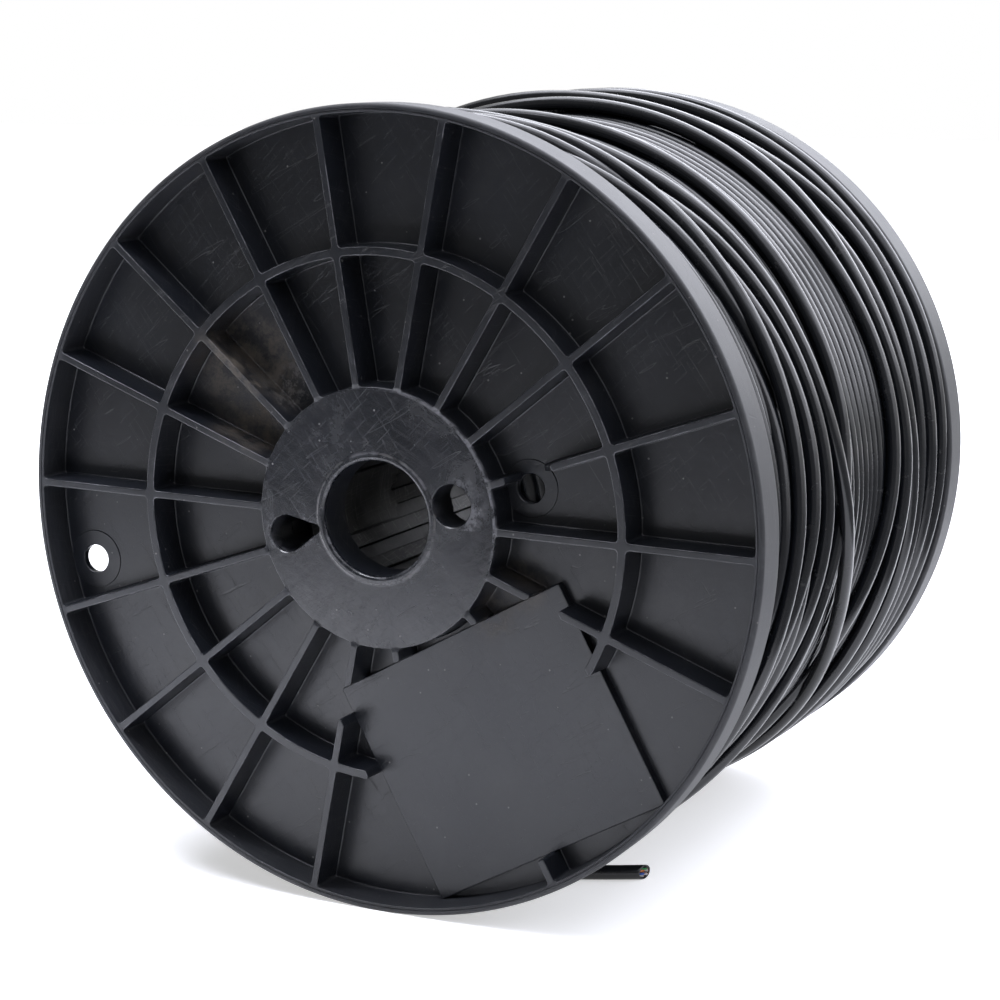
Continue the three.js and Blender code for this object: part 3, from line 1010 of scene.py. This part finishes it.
# ------------------------------------------------------------------ materials
class Paint:
    """A node material: a Principled shader, with helpers that add texture and sum nodes to it."""

    def __init__(self, name, rgb, roughness, **fixed):
        self.material = bpy.data.materials.new(name)
        self.material.use_nodes = True
        self.material.diffuse_color = (*rgb, 1)
        self.tree = self.material.node_tree
        self.shader = self.tree.nodes["Principled BSDF"]
        self.shader.inputs["Base Color"].default_value = (*rgb, 1)
        self.shader.inputs["Roughness"].default_value = roughness
        for label, value in fixed.items():
            self.shader.inputs[label.replace("_", " ")].default_value = value
        self.node = partial(add_node, self.tree)
        self.vector = partial(self.node, "ShaderNodeVectorMath")
        self.where = self.node("ShaderNodeTexCoord").outputs["Object"]

    def fold(self, operation, first, *others):
        """Values joined one after another by an operation."""
        for value in others:
            first = self.node("ShaderNodeMath", first, value, operation=operation)
        return first

    def times(self, *values):
        return self.fold("MULTIPLY", *values)

    def plus(self, *values):
        return self.fold("ADD", *values)

    def most(self, *values):
        return self.fold("MAXIMUM", *values)

    def weighed(self, start, *pairs):
        """A value with others added to it, each by its weight."""
        return self.plus(start, *[self.times(value, weight) for value, weight in pairs])

    def place(self, **changes):
        return self.node("ShaderNodeMapping", Vector=self.where, **changes)

    def noise(self, scale, detail=3.0, rough=0.5, at=None, distortion=0.0):
        return self.node(
            "ShaderNodeTexNoise", Vector=at or self.where, Scale=scale, Detail=detail,
            Roughness=rough, Distortion=distortion,
        )

    def span(self, value, low, high, to_low=0.0, to_high=1.0):
        """A value between two limits, eased to a range."""
        return self.node(
            "ShaderNodeMapRange", value, low, high, to_low, to_high,
            interpolation_type="SMOOTHSTEP",
        )

    def blotches(self, low, high, *noise):
        """Noise between two limits, as 0 to 1."""
        return self.span(self.noise(*noise), low, high)

    def band(self, value, begin, full, fading, end):
        """1 from `full` to `fading`, and 0 before `begin` and after `end`."""
        return self.times(self.span(value, begin, full), self.span(value, fading, end, 1.0, 0.0))

    def mix(self, factor, a, b):
        """Colour a where the factor is 0 and b where it is 1."""
        made = bpy.types.Node, bpy.types.NodeSocket
        a, b = (c if isinstance(c, made) else (*c, 1) for c in (a, b))
        unused = [None] * 5
        return self.node("ShaderNodeMix", factor, *unused, a, b, data_type="RGBA").outputs[2]

    def scratches(self, turn, density, thin=0.012, scale=26.0, move=(0, 0, 0)):
        """Short fine lines in one direction."""
        shape = 1 / scale, 1 / scale, 0.03 / scale
        at = self.place(vector_type="TEXTURE", Scale=shape, Rotation=turn, Location=move)
        middle = 0.5 + density
        return self.band(
            self.noise(1.0, 1.0, 0.4, at, 0.35),
            middle - thin, middle, middle + thin * 0.4, middle + thin * 1.4,
        )

    def specks(self, scale, size, chance):
        """Sparse dust grains."""
        made = self.node("ShaderNodeTexVoronoi", Vector=self.where, Scale=scale).outputs
        grain = self.span(made["Distance"], size * 0.6, size, 1.0, 0.0)
        red = self.node("ShaderNodeSeparateColor", made["Color"])
        return self.times(grain, self.span(red, 1 - chance - 0.01, 1 - chance))

    def spot(self, radius, degrees, depth, reach, softness):
        """1 inside a soft ball about a place on the flange, in millimetres, and 0 outside."""
        x, z = polar(radius, degrees)
        centre = tuple(to_row([(x, depth, z)])[0])
        away = self.vector(self.where, centre, operation="DISTANCE").outputs["Value"]
        return self.span(away, (reach - softness) * MM, (reach + softness) * MM, 1.0, 0.0)

    def about_axis(self):
        """Place across the drum's axis, and the distance from it."""
        apart = self.vector(self.where, (0, 0, AXIS_HEIGHT * MM), operation="SUBTRACT")
        flat = self.vector(apart, (1, 0, 1), operation="MULTIPLY")
        return flat, self.vector(flat, operation="LENGTH").outputs["Value"]

    def set(self, label, value):
        feed(self.tree, self.shader.inputs[label], value)

    def bump(self, height, strength, distance):
        self.set("Normal", self.node(
            "ShaderNodeBump", Height=height, Strength=strength, Distance=distance
        ))


def flange_paint(finish):
    """Moulded black plastic: soft gloss, scuffs and scratches, whitened edges, dust and soil, and a
    painted highlight on the hub's edge at the right.
    """
    paint = Paint("Flange plastic", finish.plastic, finish.gloss, Specular_IOR_Level=0.46)
    times, plus, most, span = paint.times, paint.plus, paint.most, paint.span
    node, blotches, mix = paint.node, paint.blotches, paint.mix
    flat, radius = paint.about_axis()
    depth = node("ShaderNodeSeparateXYZ", paint.where).outputs["Y"]
    side = node("ShaderNodeMath", depth, operation="ABSOLUTE")
    front = span(side, (WIDTH / 2 - 3) * MM, (WIDTH / 2 - 2) * MM)
    hub = times(span(radius, 0.0605, 0.0620, 1.0, 0.0), front)
    rim, edge = span(radius, 0.1845, 0.1855), span(radius, 0.1882, 0.1892)
    cloud, fine = paint.noise(9.0, 5.0, 0.6), paint.noise(260.0, 3.0, 0.6)

    # Whitened edges of the ribs, least on the rim, and a pale painted highlight on the hub's edge
    # at its right side, over its wear
    wear = node("ShaderNodeAttribute", attribute_name="wear").outputs["Fac"]
    rubbed_and_highlit = times(wear, blotches(0.46, 0.62, 60.0, 6.0, 0.75), span(rim, 0.0, 1.0, 1.0, 0.15))
    # Painted highlight: the hub's edge is painted pale only at its right side, where light catches
    # it
    hub_edge_wear_and_highlight = times(
        paint.band(radius, 0.0598, 0.0606, 0.0622, 0.0628), front, paint.spot(64, 35, 0, 48, 14)
    )
    rubbed_and_highlit = most(rubbed_and_highlit, times(hub_edge_wear_and_highlight, blotches(0.40, 0.55, 150.0, 4.0, 0.7)))

    # Scratches, the scuffed hub and its lip, the rim's streaks, grains and a dull film
    scratch = most(
        paint.scratches((0.4, 0.9, 0.6), 0.175, 0.007, 30.0),
        paint.scratches((1.9, 0.3, 0.3), 0.185, 0.007, 22.0, (3, 1, 2)),
        paint.scratches((0.2, 2.1, 1.2), 0.18, 0.007, 38.0, (7, 4, 1)),
    )
    rubbings = most(
        paint.scratches((0.0, 0.5, 0.0), 0.06, 0.02, 34.0, (2, 2, 5)),
        paint.scratches((0.0, 1.7, 0.0), 0.07, 0.02, 30.0, (8, 2, 0)),
        paint.scratches((0.0, 2.6, 0.0), 0.07, 0.02, 30.0, (1, 9, 4)),
    )
    mottle = blotches(0.40, 0.68, 34.0, 9.0, 0.74, None, 1.2)
    patches = blotches(0.44, 0.60, 21.0, 6.0, 0.6, paint.place(Location=(3, 0, 1)))
    lip = times(
        paint.band(radius, 0.0300, 0.0306, 0.0308, 0.0318),
        span(paint.noise(90.0, 5.0, 0.7), 0.42, 0.60, 0.03, 0.22),
    )
    scuffed = plus(times(mottle, patches, 0.035), times(rubbings, 0.014))
    worn_hub = times(hub, most(scuffed, lip))
    parts = node("ShaderNodeSeparateXYZ", flat).outputs
    round_way = times(node("ShaderNodeMath", parts["Z"], parts["X"], operation="ARCTAN2"), 9.0)
    rim_way = node("ShaderNodeCombineXYZ", times(plus(radius, side), 900.0), round_way)
    streaks = blotches(0.42, 0.66, 1.0, 5.0, 0.7, rim_way)
    worn_rim = times(rim, plus(times(streaks, 0.06), times(edge, 0.04)))
    specks = most(paint.specks(240.0, 0.14, 0.09), paint.specks(110.0, 0.07, 0.10))
    film = blotches(0.50, 0.74, 26.0, 6.0, 0.7)
    crumbs = times(paint.spot(79, 134, 16, 10, 8), blotches(0.47, 0.58, 190.0, 6.0, 0.8))
    marks = most(
        times(scratch, 0.08), times(specks, 0.5), times(film, 0.03), worn_hub, worn_rim,
        times(crumbs, 0.5),
    )

    # Brown soil in a few sectors beside the hub
    places = (100, 140, 25), (82, 150, 19), (92, 130, 9), (74, 338, 9), (69, 322, 8)
    spots = [paint.spot(r, degrees, 16, reach, 9) for r, degrees, reach in places]
    soil = times(most(*spots), blotches(0.38, 0.66, 110.0, 8.0, 0.8), 0.75)

    shades = mix(span(cloud, 0.35, 0.7), finish.plastic, [c * 1.4 for c in finish.plastic])
    shades = mix(marks, shades, finish.dust)
    shades = mix(times(rubbed_and_highlit, 0.7), shades, finish.worn_and_highlight)
    paint.set("Base Color", mix(soil, shades, finish.soil))
    rough = span(cloud, 0.3, 0.75, finish.gloss - 0.04, finish.gloss + 0.06)
    glossy = times(hub, span(mottle, 0.0, 1.0, -0.17, -0.04))
    paint.set("Roughness", paint.weighed(
        rough, (marks, 0.6), (soil, 0.5), (rubbed_and_highlit, 0.2), (rim, 0.20), (glossy, 1.0)
    ))
    height = paint.weighed(
        plus(times(fine, 0.25), cloud),
        (scratch, -0.3), (soil, 0.8), (worn_hub, 3.0), (worn_rim, -0.8),
    )
    paint.bump(height, 0.3, 0.0006)
    return paint.material


def jacket_paint(finish):
    """Satin black jacket with faint scuffs."""
    paint = Paint("Cable jacket", finish.jacket, 0.24, Specular_IOR_Level=0.5)
    cloud = paint.noise(38.0, 4.0, 0.6)
    scuff = paint.blotches(0.60, 0.75, 120.0, 5.0, 0.7, paint.place(Scale=(1, 0.35, 1)))
    paint.set("Base Color", paint.mix(paint.times(scuff, 0.10), finish.jacket, finish.dust))
    paint.set("Roughness", paint.weighed(paint.span(cloud, 0.3, 0.7, 0.20, 0.28), (scuff, 0.15)))
    paint.bump(paint.noise(240.0, 2.0, 0.5), 0.02, 0.0002)
    return paint.material


def barrel_paint(finish):
    """Dull plastic inside the barrel, scratched and dusty on the bars' tops and the land, with the
    gaps between the bars left dark as painted shade.
    """
    paint = Paint("Barrel plastic", finish.barrel, 0.55, Specular_IOR_Level=0.45)
    # Painted shade: dust and scratches only nearer the axis than the wall, so the wall between the
    # bars stays dark
    inside = paint.span(paint.about_axis()[1], 0.0555, 0.0566, 1.0, 0.0)
    cloud = paint.blotches(0.35, 0.7, 30.0, 6.0, 0.7)
    scratch = paint.most(
        paint.scratches((0.2, 0, 1.2), 0.13, 0.02, 40.0),
        paint.scratches((1.3, 0, 0.9), 0.15, 0.02, 30.0),
    )
    amount = paint.plus(paint.times(cloud, 0.34), 0.08, paint.times(scratch, 0.5))
    amount = paint.times(amount, inside)
    paint.set("Base Color", paint.mix(amount, finish.barrel, finish.dust))
    paint.set("Roughness", paint.span(cloud, 0.0, 1.0, 0.45, 0.65))
    paint.bump(paint.noise(300.0, 4.0, 0.6), 0.3, 0.0005)
    return paint.material


def wire_paint(name, rgb):
    paint = Paint(name, rgb, 0.4)
    streak = paint.times(paint.blotches(0.3, 0.7, 900.0, 2.0, 0.5), 0.2)
    paint.set("Base Color", paint.mix(streak, rgb, [0.6 * c for c in rgb]))
    return paint.material


def cable_jacket():
    """The jacket's material, which the loose end and the winding share."""
    return bpy.data.materials.get("Cable jacket") or jacket_paint(settings().finish)


# ------------------------------------------------------------------ stage
FRONT_EDGE, BEHIND_CAMERA = -680, -1500  # depths where the floor and the dark apron end
FLOOR, SIDE, HIGH = 9000, 5000, 6000  # how far the floor and the dark screen reach
CARD_SIDE, CARD_BACK = 430, 2000  # where the dark card begins at the right, and its far edge


def seen_white(tree):
    """1 for what the camera sees straight, mirrored or through a clear piece, and 0 for light."""
    path = add_node(tree, "ShaderNodeLightPath").outputs
    value = path["Is Camera Ray"]
    for kind in ("Is Glossy Ray", "Is Transmission Ray"):
        value = add_node(tree, "ShaderNodeMath", value, path[kind], operation="MAXIMUM")
    return value


def stage_sheet(name, points, faces, paint):
    """A thin piece of the stage, from points as (x, depth, height over the floor)."""
    points = to_row(points) - (0, 0, AXIS_HEIGHT * MM)
    return object_of(painted(mesh_of(points, faces, name), paint.material), name)


def floor_paint(stage):
    """Matt floor that is seen paler than it is lit, and wholly white farther away."""
    paint = Paint("Floor", stage.floor, 0.85, Emission_Color=WHITE)
    tint = [0.985 * c for c in stage.floor]
    paint.set("Base Color", paint.mix(paint.noise(3.0, 3.0), stage.floor, tint))
    away = paint.vector(paint.where, operation="LENGTH").outputs["Value"]
    lift = paint.span(away, 0.45, 1.3, stage.lift, 1.0)
    paint.set("Emission Strength", paint.times(seen_white(paint.tree), lift))
    return paint


def plain_world(stage):
    """Soft plain light that the camera and mirrors see as white."""
    world = bpy.data.worlds.new("plain")
    world.use_nodes = True
    tree = world.node_tree
    light = tree.nodes["Background"]
    feed(tree, light.inputs["Color"], (0.96, 0.97, 1.0, 1))
    feed(tree, light.inputs["Strength"], stage.sky)
    white = add_node(tree, "ShaderNodeBackground", Color=WHITE, Strength=1.0)
    choose = add_node(tree, "ShaderNodeMixShader", seen_white(tree), light, white)
    feed(tree, tree.nodes["World Output"].inputs[0], choose)
    return world


class REEL_OT_stage(bpy.types.Operator):
    """Pale floor, plain background, soft lamps and the camera"""
    bl_idname = "cable_reel.stage"
    bl_label = "Stage"

    def execute(self, context):
        stage = settings().stage
        scene = context.scene
        scene.view_settings.view_transform = "Standard"
        camera = object_of(bpy.data.cameras.new("camera"), "camera")
        camera.data.lens = stage.lens
        camera.data.sensor_width = 36
        camera.data.clip_end = 50
        camera.location = stage.camera
        camera.rotation_euler = Vector(stage.heading).to_track_quat("-Z", "Y").to_euler()
        scene.camera = camera

        corners = [(x, y, 0) for y in (FRONT_EDGE, FLOOR) for x in (-FLOOR, FLOOR)]
        stage_sheet("floor", corners, [(0, 1, 3, 2)], floor_paint(stage))

        # Black plastic mirrors this screen in front of the reel and this card at its right
        bends = (FRONT_EDGE, -1), (BEHIND_CAMERA, -1), (BEHIND_CAMERA, HIGH)
        corners = [(x, y, z) for y, z in bends for x in (-SIDE, SIDE)]
        corners += [(x, y, 1) for y in (FRONT_EDGE, CARD_BACK) for x in (CARD_SIDE, SIDE)]
        paint = Paint(
            "Dark screen", (0.02, 0.02, 0.022), 0.9, Emission_Color=WHITE, Emission_Strength=0.23
        )
        faces = [(0, 1, 3, 2), (2, 3, 5, 4), (6, 7, 9, 8)]
        screen = stage_sheet("dark_screen", corners, faces, paint)
        screen.visible_camera = screen.visible_diffuse = screen.visible_shadow = False
        scene.world = plain_world(stage)

        for name, place, aim, size, watts, spread_angle in (
            ("top lamp", (0.2, 0.8, 1.9), (0.2, 0.8, 0), (2.6, 2.2), stage.top_lamp, 180),
            ("back lamp", (0.6, 1.9, 1.45), (0, 0, 0.25), (3.4, 2.0), stage.back_lamp, 180),
            ("side lamp", (2.5, 0.35, 1.35), (0, 0.1, 0.25), (2.4, 1.5), stage.side_lamp, 180),
            ("front lamp", (0.8, -0.75, 1.4), (0, 0, 0.2), (1.2, 1.2), stage.front_lamp, 180),
            ("floor lamp", (-0.32, -0.52, 0.9), (-0.32, -0.52, 0), (0.5, 0.5), stage.floor_lamp,
             75),
        ):
            lamp = bpy.data.lights.new(name, "AREA")
            lamp.shape = "RECTANGLE"
            lamp.size, lamp.size_y = size
            lamp.energy = watts
            lamp.spread = math.radians(spread_angle)
            lamp.color = stage.light
            holder = object_of(lamp, name)
            holder.location = place
            holder.visible_camera = False
            heading = Vector(aim) - Vector(place)
            holder.rotation_euler = heading.to_track_quat("-Z", "Y").to_euler()
        return {"FINISHED"}


# ------------------------------------------------------------------ loose end
CUT_SLANT = 0.9  # how far the cut end leans, along the cable per unit across it
WIRES = (
    ("Orange wire", (0.72, 0.19, 0.03)), ("Blue wire", (0.03, 0.12, 0.50)),
    ("Green wire", (0.03, 0.30, 0.08)), ("Brown wire", (0.20, 0.075, 0.04)),
    ("White wire", (0.80, 0.78, 0.76)), ("Copper", (0.75, 0.33, 0.18)),
)
SECOND_WIRE, COPPER = 4, 5  # places in WIRES
PAIRS = ((1.0, 1.0), 0.5), ((0.9, -1.15), 1.9), ((-1.2, 0.85), 1.1), ((-1.05, -1.1), 2.7)


def tail_line():
    """Centre line of the loose end on the floor, in metres: a curve through three places."""
    start, middle, end = np.array([
        (0.04666, -0.07973, 0.0036), (0.07164, -0.06944, 0.0036), (0.09580, -0.05734, 0.0036)
    ])
    t = np.linspace(0, 1, 25)[:, None]
    return 2 * (t - 0.5) * (t - 1) * start - 4 * t * (t - 1) * middle + 2 * t * (t - 0.5) * end


def across(ahead):
    """Directions to the side of and up from a direction, square to it."""
    side = unit(np.cross(ahead, (0, 0, 1.0)))
    return side, np.cross(side, ahead)


def swept(line, radii, sides, name, ahead=None, slant=0.0):
    """Faceted tube along a line with closed ends. `slant` leans its section along the line."""
    ahead = unit(np.gradient(line, axis=0) if ahead is None else ahead)
    side, up = across(ahead)
    side = side - np.reshape(slant, (-1, 1)) * ahead
    turn = (np.arange(sides) * 2 * math.pi / sides)[:, None]
    points = [
        p + r * (np.cos(turn) * s + np.sin(turn) * u) for p, r, s, u in zip(line, radii, side, up)
    ]
    form = Solid()
    rings = np.arange(len(line) * sides).reshape(-1, sides).tolist()
    form.loft(rings)
    return mesh_of(np.vstack(points), [*form.faces, rings[0], rings[-1]], name)


def jacket_mesh(size, line):
    """The loose end's jacket, as a tube that turns in at its slanted cut."""
    ahead = unit(line[-1] - line[-2])
    lip = line[-1] - np.outer((0.0012, 0.0002, 0, 0, 0.0002, 0.0025), ahead)
    radius, inside, soft = size.diameter / 2, size.diameter / 2 - size.jacket, 0.0001
    radii = [radius] * len(line) + [radius - soft, inside + soft, inside, inside]
    directions = np.vstack([np.gradient(line, axis=0)[:-2], *[ahead] * len(lip)])
    slant = np.concatenate([np.zeros(len(line) - 3), [0.5], np.ones(len(lip))]) * CUT_SLANT
    mesh = swept(np.vstack([line[:-2], lip]), radii, 32, "loose_end", directions, slant)
    shade(mesh)
    return painted(mesh, cable_jacket())


def pairs_mesh(size, end, ahead):
    """Four twisted pairs of wires in the cut end, each with its copper."""
    side, up = across(ahead)
    rng = np.random.default_rng(size.seed)
    made = []
    for pair, (place, start) in enumerate(PAIRS):
        for which in (0, 1):
            reach = 0.0001 + 0.0007 * rng.random() - CUT_SLANT * place[0] * MM
            t = np.linspace(-0.0055, reach, 12)
            spin = start + math.pi * which + t * 260
            x = place[0] * MM + 0.5 * size.wire * np.cos(spin)
            y = place[1] * MM + 0.5 * size.wire * np.sin(spin)
            wire = end + np.outer(t, ahead) + np.outer(x, side) + np.outer(y, up)
            for line, radius, material in (
                (wire, size.wire / 2, SECOND_WIRE if which else pair),
                (wire[-3:] + ahead * 0.0003, 0.00025, COPPER),
            ):
                mesh = swept(line, [radius] * len(line), 14, "wire")
                mesh.polygons.foreach_set("material_index", [material] * len(mesh.polygons))
                made.append(mesh)
    mesh = joined(made, "cable_pairs")
    shade(mesh)
    return mesh


class REEL_OT_loose_end(bpy.types.Operator):
    """Loose end of the cable on the floor, cut at a slant, with its four pairs showing"""
    bl_idname = "cable_reel.loose_end"
    bl_label = "Loose end"

    def execute(self, context):
        size = settings().cable
        line = tail_line()
        mesh = jacket_mesh(size, line)
        tail = finish_piece(mesh, "loose_end", "cable_tail")
        paints = [wire_paint(name, rgb) for name, rgb in WIRES]
        mesh = pairs_mesh(size, line[-1], unit(line[-1] - line[-2]))
        for paint in paints:
            mesh.materials.append(paint)
        pairs = object_of(mesh, "cable_pairs")
        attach(pairs, "root")
        tuple(line[0])
        [tuple(p) for p in line]
        return {"FINISHED"}


# ------------------------------------------------------------------ the drum
class REEL_OT_flanges(bpy.types.Operator):
    """The two ribbed moulded flanges"""
    bl_idname = "cable_reel.flanges"
    bl_label = "Flanges"

    def execute(self, context):
        paint = flange_paint(settings().finish)
        near = flange_mesh(in_mm(settings().flange), "near_flange_moulding")
        far = turned_about_z(painted(near, paint), "far_flange_moulding")
        finish_piece(near, "near_flange_moulding", "near_flange")
        finish_piece(far, "far_flange_moulding", "far_flange")
        return {"FINISHED"}


def barrel_tube(size, near, far):
    """The barrel's wall between two depths."""
    outer = size.diameter / 2
    inner = outer - size.wall
    form = Solid()
    corners = (inner, near), (inner, far), (outer, far), (outer, near)
    rings = [form.ring(circle(r, 144), depth) for r, depth in corners]
    form.loft(rings + rings[:1])
    return form


def one_bar(size, near, far):
    """One bar along the inside of the barrel, at +X."""
    inner, half, high = size.diameter / 2 - size.wall, size.bar_width / 2, size.bar_height
    outside, inside = inner + 1, inner - high
    section = [
        (outside, -half - 0.3), (outside, half + 0.3), (inside + 0.5, half), (inside, half - 0.5),
        (inside, 0.5 - half), (inside + 0.5, -half),
    ]
    form = Solid()
    rings = [form.ring(section, depth) for depth in (near, far)]
    form.loft(rings)
    form.faces += rings
    return form


def worn_land(size, near):
    """Smooth land over the bars at one side, with a ragged far edge."""
    rows, columns = 26, 22
    first, sweep = 176, 28  # degrees
    low = size.diameter / 2 - size.wall + 1
    high = low - 1 - size.bar_height - 0.15
    at = np.arange(rows) / rows
    reach = size.land_length + 8 * fbm(3, at, 6, 1.0) + 3 * fbm(5, at, 8, 4.0)
    form = Solid()
    rings = []
    for i in range(rows):
        degrees = first + sweep * i / (rows - 1)
        plan = [polar(r, degrees) for r in (low, high) for _ in range(columns)]
        depth = near + reach[i] * np.arange(columns) / (columns - 1)
        rings.append(form.ring(plan, np.append(depth, depth[::-1])))
    form.loft(rings)
    for a in (rings[0], rings[-1]):
        form.faces += [(a[j], a[-1 - j], a[-2 - j], a[j + 1]) for j in range(columns - 1)]
    return form


class REEL_OT_barrel(bpy.types.Operator):
    """The hollow barrel with its bars and the worn land inside"""
    bl_idname = "cable_reel.barrel"
    bl_label = "Barrel"

    def execute(self, context):
        size, flange = in_mm(settings().barrel), in_mm(settings().flange)
        paint = barrel_paint(settings().finish)
        near = flange.depth + size.clearance
        tube = barrel_tube(size, near, WIDTH - near).mesh("tube")
        first = flange.depth + flange.spigot + 3
        bars = run_tree(one_bar(size, first, WIDTH - first).mesh("bar"), bars_tree(), {
            "Count": size.bars, "First Angle": size.first_bar, "Axis Height": AXIS_HEIGHT * MM,
            "Material": paint,
        }, "bars")
        mesh = joined([tube, bars, worn_land(size, first).mesh("land")], "barrel")
        shade(mesh)
        finish_piece(painted(mesh, paint), "barrel_body", "core_barrel")
        return {"FINISHED"}


class REEL_OT_winding(bpy.types.Operator):
    """The wound cable: its body, the even lower layer and the loose last layer"""
    bl_idname = "cable_reel.winding"
    bl_label = "Winding"

    def execute(self, context):
        cable = settings().cable
        size, paint = in_mm(cable), cable_jacket()
        core = winding_core(size).mesh("winding_body")
        shade(core)
        finish_piece(painted(core, paint), "winding_body", "cable_winding")
        tree = cable_tree()
        start = tail_line()[0] / MM - (0, -WIDTH / 2, AXIS_HEIGHT)
        layers = {"lower_layer": lower_layer(size), "last_layer": last_layer(size, start)}
        for name, line in layers.items():
            mesh = run_tree(centre_line(line, name), tree, {
                "Radius": cable.diameter / 2, "Sides": cable.sides, "Seed": cable.seed,
                "Unevenness": cable.unevenness * 2, "Material": paint,
            }, name)
            if not mesh.materials:
                mesh.materials.append(paint)
            finish_piece(mesh, name, "cable_winding")
        return {"FINISHED"}


class REEL_PT_panel(bpy.types.Panel):
    """Builders of the cable reel"""
    bl_idname = "REEL_PT_panel"
    bl_label = "Cable Reel"
    bl_space_type = "VIEW_3D"
    bl_region_type = "UI"
    bl_category = "Cable Reel"

    def draw(self, context):
        for operator in OPERATORS:
            self.layout.operator(operator.bl_idname)


OPERATORS = REEL_OT_stage, REEL_OT_loose_end, REEL_OT_flanges, REEL_OT_barrel, REEL_OT_winding
CLASSES = (
    FlangeSizes, BarrelSizes, CableSizes, Finishes, StageSettings, ReelSettings,
    *OPERATORS, REEL_PT_panel,
)


def register():
    for item in CLASSES:
        bpy.utils.register_class(item)
    bpy.types.Scene.cable_reel = bpy.props.PointerProperty(type=ReelSettings)


def unregister():
    del bpy.types.Scene.cable_reel
    for item in reversed(CLASSES):
        bpy.utils.unregister_class(item)


def main():
    register()
    bpy.ops.cable_reel.stage()
    bpy.ops.cable_reel.loose_end()
    bpy.ops.cable_reel.flanges()
    bpy.ops.cable_reel.barrel()
    bpy.ops.cable_reel.winding()


if __name__ == "__main__":
    main()
